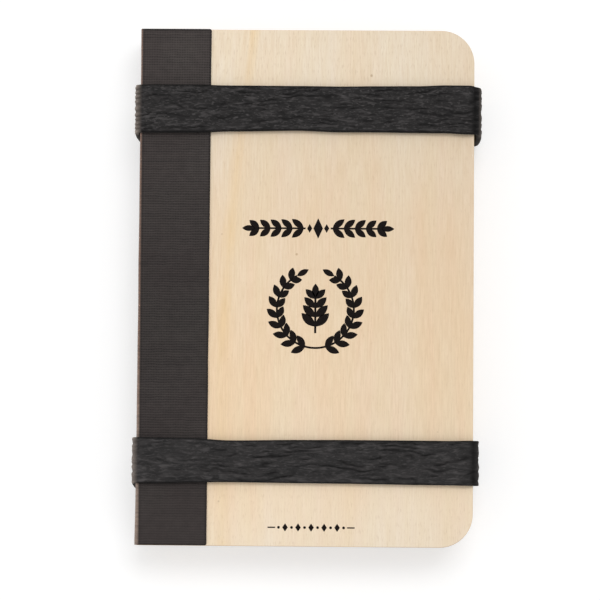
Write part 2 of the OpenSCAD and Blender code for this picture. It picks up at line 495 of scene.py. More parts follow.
def bookcloth_finish():
    """Starched plain weave in dark brown-black."""
    material, add = new_material("starched bookcloth")
    strip = add("Attribute", attribute_name="threads").outputs["Vector"]
    uneven = add("TexNoise", strip, 0.35, 3).outputs["Color"]
    wavy = add("VectorMath Add", strip, add("VectorMath Scale", uneven, 0.55))
    turn = add("SeparateXYZ", add("VectorMath Scale", wavy, math.pi / THREAD_PITCH))
    warp = add("Math Sine", turn.outputs["X"])
    weft = add("Math Sine", turn.outputs["Y"])

    def thread_height(own, other, way):
        """Height of one set of threads. way is 1 if it passes over first, and -1 if under."""
        round_part = add("Math Power", add("Math Absolute", own), 0.6)
        wave = add("Math Multiply", add("Math Sign", own), other)
        wave = add("Math Multiply Add", wave, 0.05 * way, 0.9)
        return add("Math Multiply", round_part, wave)

    from_flap_edge, from_middle, _ = add("SeparateXYZ", strip).outputs
    lengthwise = thread_height(warp, weft, 1)
    under = add("Math Multiply", lengthwise, 0.74)
    height = add("Math Maximum", under, thread_height(weft, warp, -1))
    # Towards the head the lengthwise threads stand out too, and the dye between is thinner
    proud = add("MapRange", from_middle, 25, 55, 0, 0.18)
    thinner = add("MapRange", from_middle, 25, 60, 0, 0.6)
    height = add("Math Multiply Add", add("Math Subtract", lengthwise, 0.68), proud, height)

    # Slubs: some crosswise threads are thicker and paler than others
    rows = add("VectorMath Multiply", wavy, (0.05, 1 / THREAD_PITCH, 1))
    slub = add("MapRange", add("TexNoise", rows, 1, 1), 0.3, 0.7)
    worn = add("MapRange", add("TexNoise", strip, 0.045, 3), 0.35, 0.65)

    dark = add("Mix", thinner, add("Mix", worn, "#120F0E", "#151312"), "#272322")
    pale = add("Mix", worn, "#3C3534", "#423D3B")
    colour = add("Mix", add("MapRange", height, 0.3, 0.95), dark, pale)
    colour = add("Mix", add("Math Multiply", slub, 0.22), colour, "#4C4542")

    # Starch fills the weave at the tail, and the colour is cloudy and lighter towards both ends
    filled = add("MapRange", from_middle, -66, -30, 0.55, 0)
    colour = add("Mix", filled, colour, "#322C2B")
    off_middle = add("Math Absolute", add("Math Add", from_middle, -DARKEST_Y))
    lighter_towards_ends = add("MapRange", off_middle, 5, 70, 0.80, 1.12)
    cloudy = add("MapRange", add("TexNoise", strip, 0.45, 4), 0.3, 0.7, 0.88, 1.12)
    colour = add("VectorMath Scale", colour, add("Math Multiply", lighter_towards_ends, cloudy))

    # The darker cut edges, the painted shade in the crease and the painted highlight on the fold,
    # by their distance from the cut edges
    from_end = add("Math Subtract", cloth_h / 2 / MM, add("Math Absolute", from_middle))
    from_edge = add("Math Minimum", from_flap_edge, from_end)
    darker_cut_edge = add("MapRange", from_edge, 0.1, CUT_EDGE_WIDTH + 0.3, 0.65, 0)
    # Painted shade: the crease where the bend begins is darkened
    crease_at = add("MapRange", from_middle, -60, 60, *CREASE_AT)
    past_crease = add("Math Subtract", from_flap_edge, crease_at)
    painted_crease_shade = add("MapRange", add("Math Absolute", past_crease), 0.05, 0.45, 0.35, 0)
    colour = add("Mix", add("Math Maximum", darker_cut_edge, painted_crease_shade), colour, "#100C0B")
    # Painted highlight: the rounded fold is painted paler brown, more towards the tail, for the
    # light it catches
    more_at_tail = add("MapRange", from_middle, -45, -5, 0.95, 0.5)
    brown = add("Mix", add("MapRange", more_at_tail, 0.5, 0.95), "#8F6E5C", "#88776C")
    painted_fold_highlight = add("MapRange", past_crease, 0.1, 0.6)
    fades = add("MapRange", from_flap_edge, FOLD_ENDS, FOLD_ENDS + 1.2, 1, 0.1)
    highlight_on_slubs = add("MapRange", {0: slub, 3: 0.55, 4: 1})
    for share in (more_at_tail, fades, highlight_on_slubs):
        painted_fold_highlight = add("Math Multiply", painted_fold_highlight, share)
    colour = add("Mix", painted_fold_highlight, colour, brown)

    relief = add("Math Multiply Add", slub, 0.25, height)
    finish_material(add, colour, relief, 0.8, 0.09, Roughness=0.75, Specular_IOR_Level=0.2,
                    Sheen_Weight=0.06, Sheen_Roughness=0.4)
    return material


bookcloth = bookcloth_finish()
print("threads to a centimetre:", round(10 / THREAD_PITCH))

# %% [markdown]
# ## Bookcloth strip
# On the real press one strip wraps the back cover, the spine and the front cover. The book
# opens along both folds, and a piece can bend across one joint only. So the strip is made as
# two halves that meet at the middle of the spine, where nothing bends. Each half starts as a
# flat plane, the flap. Its spine edge is spun a quarter turn round the fold, and then
# extruded down the gently bowed spine. It is cut crosswise so that its edge can waver, as a
# glued edge does, and Solidify makes it a real cloth thickness with closed edges.

# %% Bookcloth strip
FOLD_R = 0.8 * MM
SPINE_BULGE = 0.5 * MM
FOLD_STEPS = 8
SPINE_STEPS = 9
FLAP_CUTS = 11
LENGTH_CUTS = 99
CLOTH_SHIFT = 0.1 * MM  # the strip was glued on a little nearer the head
CLOTH_WAVER = 0.07 * MM
CLOTH_CORNER = 0.5 * MM
EDGE_WAVER = CLOTH_WAVER * 0.7  # the cut edge strays less than the fold
EDGE_REACH = 2 * MM  # how far in from the cut edge the cloth is moved
WAVER_LENGTH = 13 * MM
TAIL_SPREAD = 0.15 * MM  # the spine spreads a little at the tail
TAIL_PART = (40 * MM, 20 * MM)  # from here below the middle, and fully from this much further

spine_mid_z = (flap_high.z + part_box("back_flap")[0].z) / 2
spine_half = flap_high.z - spine_mid_z


def spine_bow(z):
    """How far the spine bows out at a height."""
    return SPINE_BULGE * max(0, 1 - ((z - spine_mid_z) / spine_half) ** 2)


def waver(place, seed):
    """A slow, seeded wander from head to tail, from -1 to 1."""
    return noise.noise(Vector((seed, place / WAVER_LENGTH, 0))) * 1.6


def cloth_half(name, side):
    """Half of the bookcloth strip. side is 1 for the front cover and -1 for the back cover."""
    outer_z = spine_mid_z + side * spine_half
    arc_x = fold_x + FOLD_R
    arc_z = outer_z - side * FOLD_R
    select_only()
    bpy.ops.mesh.primitive_plane_add(size=1, location=((arc_x + flap_edge_x) / 2, 0, outer_z))
    strip = bpy.context.object
    strip.name = strip.data.name = name
    strip.scale = (flap_edge_x - arc_x, cloth_h, 1)
    apply_place()

    with editing(strip):
        pick(strip, "EDGE", lambda e: all(v.co.x < arc_x + TINY for v in e.verts))
        bpy.ops.mesh.spin(steps=FOLD_STEPS, angle=math.pi / 2, center=(arc_x, 0, arc_z),
                          axis=(0, side, 0))
        heights = [arc_z + (spine_mid_z - arc_z) * (i + 1) / SPINE_STEPS
                   for i in range(SPINE_STEPS)]
        for height in heights:
            bpy.ops.mesh.extrude_region_move(
                TRANSFORM_OT_translate={"value": (0, 0, heights[1] - heights[0])})
        pick(strip, "EDGE", lambda e: runs_along(e, 0) and e.calc_length() > 5 * MM)
        bpy.ops.mesh.subdivide(number_cuts=FLAP_CUTS)
        pick(strip, "EDGE", lambda e: runs_along(e, 1))
        bpy.ops.mesh.subdivide(number_cuts=LENGTH_CUTS)

    for vertex in strip.data.vertices:
        place = vertex.co
        if abs(place.z - spine_mid_z) < abs(arc_z - spine_mid_z) + TINY:
            place.x -= spine_bow(place.z) - spine_bow(arc_z)
        near_fold = portion(arc_x - place.x, 0, FOLD_R)
        place.x += CLOTH_WAVER * near_fold * waver(place.y, 4)
        near_tail = portion(-place.y, *TAIL_PART)
        place.x -= TAIL_SPREAD * near_fold * near_tail
        near_edge = portion(place.x - flap_edge_x, -EDGE_REACH, EDGE_REACH)
        place.x += EDGE_WAVER * near_edge * waver(place.y, 9 + side)
        place.y += CLOTH_SHIFT

    face_outwards(strip)
    top = max(strip.data.polygons, key=lambda f: f.area)
    inwards = -1 if top.normal.z * side > 0 else 1
    add_modifier(strip, "SOLIDIFY", thickness=CLOTH_T, offset=inwards, use_even_offset=True)
    face_outwards(strip)
    with editing(strip):
        pick(strip, "EDGE", lambda e: runs_along(e, 2) and e.verts[0].co.x > flap_edge_x - MM and
             abs(e.verts[0].co.y - CLOTH_SHIFT) > cloth_h / 2 - TINY)
        bpy.ops.mesh.bevel(offset=CLOTH_CORNER, segments=4, affect="EDGES")

    threads = strip.data.attributes.new("threads", "FLOAT_VECTOR", "POINT")
    for vertex, mark in zip(strip.data.vertices, threads.data):
        down = abs(outer_z - vertex.co.z)
        mark.vector = ((flap_edge_x - vertex.co.x + down) / MM, vertex.co.y / MM, 0)
    finish_piece(strip, bookcloth)
    return strip


front_cloth = cloth_half("bookcloth_front_half", 1)
back_cloth = cloth_half("bookcloth_back_half", -1)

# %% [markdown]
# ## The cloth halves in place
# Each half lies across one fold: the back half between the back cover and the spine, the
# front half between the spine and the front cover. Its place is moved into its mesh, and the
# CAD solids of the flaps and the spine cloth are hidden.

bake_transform(back_cloth)
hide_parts("back_flap", "spine_cloth")

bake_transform(front_cloth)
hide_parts("front_flap", "spine_cloth")

for side, half in (("back", back_cloth), ("front", front_cloth)):
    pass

# %% [markdown]
# ## Spine lining
# Inside the spine a strip of buff paper hides the back of the cloth. Its CAD solid has the
# right shape, so it stays and only gets a finish: matt paper with short, soft fibres.

# %% Paper finishes
def fibre_paper(name, pale, dark, fibre_mm, fibre_share, bump_mm):
    """Matt paper: a pale ground with fibres and cloudy patches, as pulp settles on a wire."""
    material, add = new_material(name)
    place = place_in_mm(add)
    cloudy = add("MapRange", add("TexNoise", place, 0.22, 3), 0.3, 0.7)
    fibres = add("MapRange", add("TexNoise", place, 1 / fibre_mm, 4, 2.5), 0.35, 0.65)
    amount = add("Math Multiply", add("Math Multiply", cloudy, fibres), fibre_share)
    colour = add("Mix", amount, pale, dark)
    finish_material(add, colour, fibres, 0.6, bump_mm, Roughness=0.9)
    return material


lining_paper = fibre_paper("buff lining paper", "#D8CDB8", "#B3A386", 0.9, 0.6, 0.03)
lining = frame["nodes"]["spine_lining"]
lining.data.materials.clear()
lining.data.materials.append(lining_paper)
print("the lining keeps its CAD solid and gets", lining_paper.name)

# %% [markdown]
# ## Corrugated dividers
# The dividers let air through between the blotters: two flat brown papers with a wave of the
# same paper between them. The wave could be cut from a block, but it is a folded sheet, so it
# starts as a grid with twelve rows to a wave. Each row is lifted by a cosine, and the rows
# near the fore edge are drawn in to the round corners. Solidify then gives the paper its
# thickness. One divider is modelled and copied, and each copy lies slightly askew, because
# the leaves are loose.

# %% Kraft board and dividers
FLUTE_PITCH = 3.3 * MM
LINER_T = 0.25 * MM
MEDIUM_T = 0.22 * MM
ROWS_IN_A_FLUTE = 12
LEAF_R = 7.5 * MM
LEAF_SLACK = 0.28 * MM  # how far a loose leaf may slip
LEAF_TURN = 0.12  # and how far it may turn, in degrees
DIVIDER_COUNT = 5

kraft_board = fibre_paper("brown kraft board", "#C39B6B", "#94683A", 0.7, 0.75, 0.03)
slip = random.Random(11)


def fore_outline(y, low, high, corner_r):
    """Where a leaf's fore edge lies at a place between tail and head."""
    half = (high.y - low.y) / 2
    into_corner = abs(y - (high.y + low.y) / 2) - (half - corner_r)
    if into_corner <= 0:
        return high.x
    return high.x - corner_r + math.sqrt(max(0, corner_r ** 2 - into_corner ** 2))


def fluted_paper(low, high):
    """The wavy paper inside a divider."""
    rows = round((high.y - low.y) / FLUTE_PITCH * ROWS_IN_A_FLUTE)
    select_only()
    bpy.ops.mesh.primitive_grid_add(x_subdivisions=1, y_subdivisions=rows, size=1,
                                    location=(low + high) / 2)
    paper = bpy.context.object
    paper.scale = (high.x - low.x, high.y - low.y, 1)
    apply_place()
    swing = (high.z - low.z) / 2 - LINER_T - MEDIUM_T / 2
    for vertex in paper.data.vertices:
        vertex.co.z += swing * math.cos(2 * math.pi * vertex.co.y / FLUTE_PITCH)
        if vertex.co.x > 0:
            vertex.co.x = fore_outline(vertex.co.y, low, high, LEAF_R)
    add_modifier(paper, "SOLIDIFY", thickness=MEDIUM_T, offset=0)
    return paper


def divider_model(low, high):
    """A whole corrugated divider: lower paper, wave and upper paper, glued into one."""
    lower = rounded_board("kraft_divider", low, (high.x, high.y, low.z + LINER_T), LEAF_R, 0)
    upper = rounded_board("liner", (low.x, low.y, high.z - LINER_T), high, LEAF_R, 0)
    wave = fluted_paper(low, high)
    select_only(lower, upper, wave)
    bpy.ops.object.join()
    return lower


body_of_node = {node: body for body, nodes in frame["record"]["behaviour"]["bodies"].items()
                for node in nodes}


def lay_leaves(model, count, name, node, material, slot):
    """Lays copies of one leaf where the CAD nodes lie, each slipped a little."""
    first_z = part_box(node + "_1")[0].z
    for i in range(1, count + 1):
        leaf_node = f"{node}_{i}"
        leaf = copy_of(model)
        leaf.name = leaf.data.name = f"{name}_{i}"
        select_only(leaf)
        leaf.location = (slip.uniform(-1, 1) * LEAF_SLACK, slip.uniform(-1, 1) * LEAF_SLACK,
                         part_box(leaf_node)[0].z - first_z)
        leaf.rotation_euler.z = math.radians(slip.uniform(-LEAF_TURN, LEAF_TURN))
        apply_place()
        finish_piece(leaf, material)
        seat(leaf, body_of_node[leaf_node], slot, leaf_node)
    bpy.data.objects.remove(model)


divider = divider_model(*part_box("divider_1"))
lay_leaves(divider, DIVIDER_COUNT, "kraft_divider", "divider", kraft_board, "corrugated_board")

# %% [markdown]
# ## Blotters
# Blotting paper is thick, soft and unsized, and drinks the water out of a flower. It is the
# same outline as a divider. One sheet is modelled, with rims eased by a hair because a soft
# cut edge is never sharp, and eight copies lie loosely on the dividers.

# %% Blotters
SHEET_PLAY = 0.015 * MM  # room between a blotter and its neighbour
BLOTTER_RIM = 0.08 * MM
BLOTTER_COUNT = 8

blotting_paper = fibre_paper("off-white blotting paper", "#EFEADF", "#CFC6B2", 0.5, 0.5, 0.05)
blotter_low, blotter_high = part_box("blotter_1")
play = Vector((0, 0, SHEET_PLAY))
blotter = rounded_board("blotting_sheet", blotter_low + play, blotter_high - play, LEAF_R,
                        BLOTTER_RIM)
lay_leaves(blotter, BLOTTER_COUNT, "blotting_sheet", "blotter", blotting_paper, "blotting_paper")

# %% [markdown]
# ## Crinkled elastic, the finish
# The loops are ruched elastic: rubber threads in a black skin that puckers as they draw it
# in. The main folds are real geometry, made in the cells below, which also mark every point:
# how high it lies between the creases, how near it is to a rim that is painted dark, and how
# wiry the skin is there. The finish reads these marks. It paints shade into the creases, along
# the long edges and into the pinch at the fore edge, and paints short highlights on the ridges.
# Where the loop turns over a rim it is painted grey-brown for the light it catches there,
# palest at its edges, and halfway down a flank it is nearly black again. Wrinkles of 1.3 by
# 0.4 mm are left to bump.
# Their noise is stretched along X and Z alike and kept short along Y, so that they follow
# the loop over the press and down its flanks.

# %% Crinkled elastic
PAINTED_LIGHT_AT_SPINE = (-46.7, -44.5)  # where the painted light lies round the spine, in millimetres from the middle
PAINTED_LIGHT_AT_FORE_EDGE = (46.7, 48.1)
PAINTED_LIGHT_FLANK = (4, 8)  # and how far above and below the middle of a flank


def elastic_finish():
    """Black puckered elastic with a soft shine."""
    material, add = new_material("black ruched elastic")
    place = place_in_mm(add)

    def wrinkles(long, wide, detail):
        spot = add("VectorMath Multiply", place, (1 / long, 1 / wide, 1 / long))
        return add("TexNoise", spot, 1, detail, 0.6)

    fine = wrinkles(1.3, 0.42, 3)
    broad = wrinkles(7.0, 1.6, 2)
    skin = add("Attribute", attribute_name="skin").outputs["Vector"]
    crest, painted_rim_shade_and_light, wiry = add("SeparateXYZ", skin).outputs
    colour = add("Mix", add("MapRange", broad, 0.3, 0.7), "#2A2929", "#323030")
    swallows = add("MapRange", {0: wiry, 3: 1.40, 4: 0.80})
    colour = add("VectorMath Scale", colour, swallows)
    # Painted shade: the creases are darkened by how low they lie
    deep = add("MapRange", crest, 0.1, 0.95, 0.72, 0)
    colour = add("Mix", deep, colour, "#0E0D0D")
    # Painted highlights: short shiny dashes, and broader ones, on the ridges
    painted_glints = add("MapRange", wrinkles(1.1, 0.34, 2), 0.55, 0.70, 0, 0.75)
    smooth = add("MapRange", wrinkles(3.0, 0.8, 2), 0.52, 0.72, 0, 0.6)
    painted_glints = add("Math Maximum", add("Math Multiply", painted_glints, wiry), smooth)
    colour = add("Mix", add("Math Multiply", painted_glints, crest), colour, "#545151")

    # Painted light: where the loop turns it is painted paler for the light it catches there, by its
    # place across the press and by its height
    x, _, z = add("SeparateXYZ", place).outputs
    painted_turn_light = add("MapRange", x, *PAINTED_LIGHT_AT_SPINE, 0.82, 0)
    painted_turn_light = add("Math Maximum", painted_turn_light, add("MapRange", x, *PAINTED_LIGHT_AT_FORE_EDGE, 0, 0.6))
    off_middle = add("Math Absolute", add("Math Subtract", z, board_high.z / 2 / MM))
    painted_turn_light = add("Math Multiply", painted_turn_light, add("MapRange", off_middle, *PAINTED_LIGHT_FLANK, 0.15, 1))
    colour = add("Mix", painted_turn_light, colour, "#7F746C")
    # Painted shade in the creases where the loop turns
    painted_flank_crease_shade = add("Math Multiply", add("Math Multiply", deep, painted_turn_light), 1.4, use_clamp=True)
    colour = add("Mix", painted_flank_crease_shade, colour, "#151211")
    # Painted shade on the long edges and in the pinch, and painted light on the edges where the
    # loop turns
    rim = add("Mix", painted_turn_light, "#0A0909", "#A89C92")
    colour = add("Mix", add("Math Multiply", painted_rim_shade_and_light, 0.82), colour, rim)

    rough = add("MapRange", broad, 0.35, 0.65, 0.9, 0.75)
    relief = add("Math Multiply", add("MapRange", {0: wiry, 3: 0.35, 4: 1}), fine)
    finish_material(add, colour, relief, 0.7, 0.22, Roughness=rough, Specular_IOR_Level=0.12,
                    Sheen_Weight=0.02, Sheen_Roughness=0.35)
    return material


elastic = elastic_finish()
print("finish ready:", elastic.name)

# %% [markdown]
# ## Elastic loops
# A loop could be a swept curve, but its cross-section has to change all the way round. So it
# starts as a block round the whole press. Its two ends are taken away, its four corners are
# bevelled round, its faces are cut into small cells, and Solidify gives it the thickness of
# the elastic. Then every point is moved as a sculptor would. Long creases are pressed in
# along the loop, with short sharp ridges between them. The two edges wander, the run under
# the press lies askew, and the loop lies tight round the spine and bows out at the fore edge.
# The top run steps down where it leaves the cloth and meets the wood, and is pinched where
# it is pulled over the rim. Where the loop turns, its skin gathers into even ribs, which fade
# halfway down a flank.

# %% The plain band
BAND_T = 1.3 * MM
BAND_BEND = 1.9 * MM  # outer radius where the loop turns round an edge of the press
BAND_ROUND = 0.26 * MM  # rounding of its long edges
BEND_STEPS = 8
ROUND_STEPS = 3
CUTS_ALONG = (15, 11)  # the runs are cut twice, into 16 parts and those into 12
CUTS_DOWN = 45
CUTS_ACROSS = 59


def loop_blank(name, low, high):
    """A plain closed band round the press, cut into small cells."""
    band = start_block(name, low, high)
    with editing(band):
        pick(band, "FACE", lambda f: abs(f.normal.y) > 0.9)
        bpy.ops.mesh.delete(type="ONLY_FACE")
        pick(band, "EDGE", lambda e: runs_along(e, 1))
        bpy.ops.mesh.bevel(offset=BAND_BEND, segments=BEND_STEPS, affect="EDGES")
        for cuts in CUTS_ALONG:
            pick(band, "EDGE", lambda e: runs_along(e, 0))
            bpy.ops.mesh.subdivide(number_cuts=cuts)
        pick(band, "EDGE", lambda e: runs_along(e, 2) and e.calc_length() > 5 * MM)
        bpy.ops.mesh.subdivide(number_cuts=CUTS_DOWN)
        pick(band, "EDGE", lambda e: runs_along(e, 1))
        bpy.ops.mesh.subdivide(number_cuts=CUTS_ACROSS)
    face_outwards(band)
    middle = (low + high) / 2
    out_now = sum((f.center - middle).dot(f.normal) for f in band.data.polygons)
    if out_now < 0:
        with editing(band):
            bpy.ops.mesh.select_all(action="SELECT")
            bpy.ops.mesh.flip_normals()
    add_modifier(band, "SOLIDIFY", thickness=BAND_T, offset=-1)
    with editing(band):
        pick(band, "EDGE", lambda e: all(min(v.co.y - low.y, high.y - v.co.y) < TINY
                                         for v in e.verts) and
             any(len(f.verts) == 4 and abs(f.normal.y) < 0.5 for f in e.link_faces) and
             any(abs(f.normal.y) > 0.5 for f in e.link_faces))
        bpy.ops.mesh.bevel(offset=BAND_ROUND, segments=ROUND_STEPS, affect="EDGES")
    return band


print("a plain band is", round(BAND_T / MM, 1), "mm thick")

# %% [markdown]
# ## How each loop lies
# Two loops never lie alike, and the eye sees it in their edges. A random wander would do for
# any press. These edges follow the real ones, so each is a smooth line through listed points,
# and the rest of a loop's character is a short list of facts.

# %% Facts of each loop
# How far each long edge strays towards the head, in millimetres, at places across the press,
# on the front run. The back run's stray is given at its spine end and its fore end. The
# loop is stretched thinner over the spine, and bows out at the fore edge. Its main creases
# have a pitch and a depth, and are calmer at the spine end by a share. Its ribs have a pitch
# at the spine and one at the fore edge, and are plain or faint, from 1 to 0. Its skin is
# wiry or smooth, from 1 to 0.
loop_facts = {
    "upper": {
        "seed": 2.0,
        "head_edge": [(-47, 0.5), (-31, 0.5), (-20, 0.37), (-2, 0.33), (9, 0.26), (20, 0.39),
                      (30, 0.45), (38, 0.74), (44, 0.68), (47, 0.3)],
        "tail_edge": [(-47, -0.35), (-30, -0.3), (-20, 0.12), (-2, 0.42), (9, 0.06), (20, 0.09),
                      (30, -0.02), (38, -0.05), (44, -0.34), (47, -0.45)],
        "back": (-0.8, -1.3),
        "spine_thin": 0.0,
        "fore_bow": 0.67,
        "pitch": 1.35,
        "depth": 0.37,
        "calm": 0.1,
        "rib_pitch": (1.25, 2.0),
        "ribbed": 1.0,
        "wiry": 1.0,
    },
    "lower": {
        "seed": 31.0,
        "head_edge": [(-47, 0.9), (-30, 0.75), (-20, 0.21), (-1, 0.47), (10, 0.56), (20, 0.55),
                      (31, 0.55), (39, 0.52), (45, 0.63), (47, 0.6)],
        "tail_edge": [(-47, 0.8), (-36, 0.9), (-30, 1.1), (-20, 1.22), (-1, 1.08), (10, 1.04),
                      (21, 0.95), (31, 0.86), (39, 0.82), (45, 0.76), (47, 0.7)],
        "back": (-1.1, 0.5),
        "spine_thin": 0.3,
        "fore_bow": -0.03,
        "pitch": 1.75,
        "depth": 0.5,
        "calm": 0.45,
        "rib_pitch": (2.1, 2.6),
        "ribbed": 0.4,
        "wiry": 0.6,
    },
}


def ease(share):
    """A share from 0 to 1, made to start and end gently."""
    share = portion(share, 0, 1)
    return share * share * (3 - 2 * share)


def between(points, x):
    """The value at x on a smooth line through given points."""
    if x <= points[0][0]:
        return points[0][1]
    for (x0, a), (x1, b) in zip(points, points[1:]):
        if x <= x1:
            return a + (b - a) * ease((x - x0) / (x1 - x0))
    return points[-1][1]


def ramp(value, start, over):
    """0 up to a start and 1 from a stretch further on, with a gentle change between."""
    return ease((value - start) / over)


stray = between(loop_facts["upper"]["head_edge"], 0)
print("at the middle of the cover the upper loop's edge strays by", round(stray, 2), "mm")

# %% [markdown]
# ## Creases, ribs and ridges
# The skin of ruched elastic is gathered, so its creases run along the loop and wander. A
# displacement texture would press them straight in or out. Functions of the place can also
# say how deep each point lies, and the finish needs to know that. A sine gives the rows, and
# noise bends them and lets them come and go.

# %% Creases, ribs and ridges
SMALL_PITCH = 0.85  # how far apart the small creases lie, in millimetres
SMALL_DEPTH = 0.24 * MM
RIDGE_RISE = 0.14 * MM


def crinkle(place, pitch, seed):
    """Height of the crinkled skin: 0 in the wavy creases along the loop and 1 on its ridges."""
    x, y, z = place / MM
    drift = noise.noise(Vector((x / 12, y / 6, z / 12 + seed)))
    shiver = noise.noise(Vector((x / 3.4, y / 1.7, z / 3.4 - seed)))
    ridge = abs(math.sin(math.pi * (y / pitch + 1.5 * drift + 0.55 * shiver))) ** 0.65
    deep = ease(0.5 + 1.5 * noise.noise(Vector((x / 5.5, y / 1.5, z / 5.5 + 3 * seed))))
    return 1 - deep * (1 - ridge)


def rib(place, pitch, seed):
    """Height of the even ribs where the loop turns: 0 between them and 1 along each."""
    y = place.y / MM
    stray = noise.noise(Vector((seed, y / 4, place.z / (30 * MM))))
    return abs(math.sin(math.pi * (y / pitch + 0.7 * stray))) ** 1.1


def short_ridge(place, seed):
    """Height of the short sharp ridges between the creases, from 0 to 1."""
    x, y, z = place / MM
    spot = Vector((x / 2.0, y / 0.85 + 0.12 * x, z / 2.0 + seed))
    return max(0, 1 - 3.2 * abs(noise.noise(spot)))


heights = [crinkle(Vector((0, i * 0.1 * MM, 0)), SMALL_PITCH, 0) for i in range(100)]
print("the small creases lie at", round(sum(heights) / len(heights), 2), "of the height of a ridge")

# %% [markdown]
# ## Inside and outside of the band
# Only the outer face takes the creases, because the inner face lies flat on the press. So
# for each point it has to be known how deep it lies under the outer face, and which way is
# outwards there: straight up, straight to the side, or slanting at a bend. The face normals
# would say it too, but they change as soon as a neighbour has been moved.

# %% Inside and outside
def under_outside(x, z, low, high):
    """How deep a point lies under the loop's outer face, and which way is outwards."""
    half_x, half_z = (high.x - low.x) / 2, (high.z - low.z) / 2
    dx, dz = x - (high.x + low.x) / 2, z - (high.z + low.z) / 2
    corner_x, corner_z = abs(dx) - (half_x - BAND_BEND), abs(dz) - (half_z - BAND_BEND)
    way_x, way_z = math.copysign(1, dx), math.copysign(1, dz)
    if corner_x > 0 and corner_z > 0:
        reach = math.hypot(corner_x, corner_z)
        return BAND_BEND - reach, Vector((way_x * corner_x / reach, 0, way_z * corner_z / reach))
    if corner_x > corner_z:
        return BAND_BEND - corner_x, Vector((way_x, 0, 0))
    return BAND_BEND - corner_z, Vector((0, 0, way_z))


low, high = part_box("upper_band")
print("outwards above the middle is", tuple(under_outside(0, high.z, low, high)[1]))

# %% [markdown]
# ## Puckering the band
# Now every point of the plain band is moved. Most of the changes grow over a short way, such
# as the calm part at the spine or the ribs at the turns, so that nothing begins with a step.

# %% Puckering
SKIN_SWELL = 0.24 * MM  # how far the ridges stand out from the CAD solid
RUN_REACH = 3 * MM  # the top run and the run under the press end this far down a flank
RUN_FADE = 2 * MM
SPINE_REACH = 3 * MM  # on this last way to the fold the loop comes to lie tight
BOW_EASED = 0.4  # how much less the outer face bows with the spine, as a share
FORE_REACH = 3 * MM  # how much of the loop at the fore edge bows out
FORE_ROUND = 0.6  # a lower power makes this bow flatter in its middle
STEP_DOWN = 0.3 * MM  # how much lower the top run lies on the wood than on the cloth
STEP_BACK = 0.7  # the share of this that it loses again towards the rim
PINCH = 0.55 * MM  # how far it is pressed in where it is pulled over the rim of a board
PINCH_X = 45.7
PINCH_WIDTH = 0.95
PINCH_FLATTENS = 0.4  # the share of the creases that is lost there
RIDGES_PALER = 0.3  # how much of the painted shade the ridges escape there
DARK_EDGE = (0.15, 0.6)  # the long edges are painted darkest, as shade, to here, and not at all from here on
EDGE_FADE = 9  # creases reach their depth within a ninth of the width
EDGE_LEAST = 0.35  # the share of a crease's depth that is left at a long edge
UNDER_SHALLOW = 0.55  # how much shallower the creases are under the press, as a share
RIB_LEAST = 0.35  # the share of the ribs that is left halfway down a flank
DOWN_A_FLANK = 0.45  # how fast creases change down a flank, as a share of along the top
SEAM_HALF = 2.3 * MM  # half the width of the sewn seam under the press
SEAM_LIFT = 0.3 * MM  # how far the stitches draw the elastic in
SEAM_FADE = 1 * MM

# Where a change starts and over what way it grows, in millimetres
CALM_TO_SPINE = (18, 14)
RIBBED_TURN = (44.6, 1.2)
RIBBED_FLANK = (3.5, 4)
OFF_THE_CLOTH = (-0.6, 3.0)
UP_TO_RIM = (39, 5)
FROM_SPINE = (-47, 94)


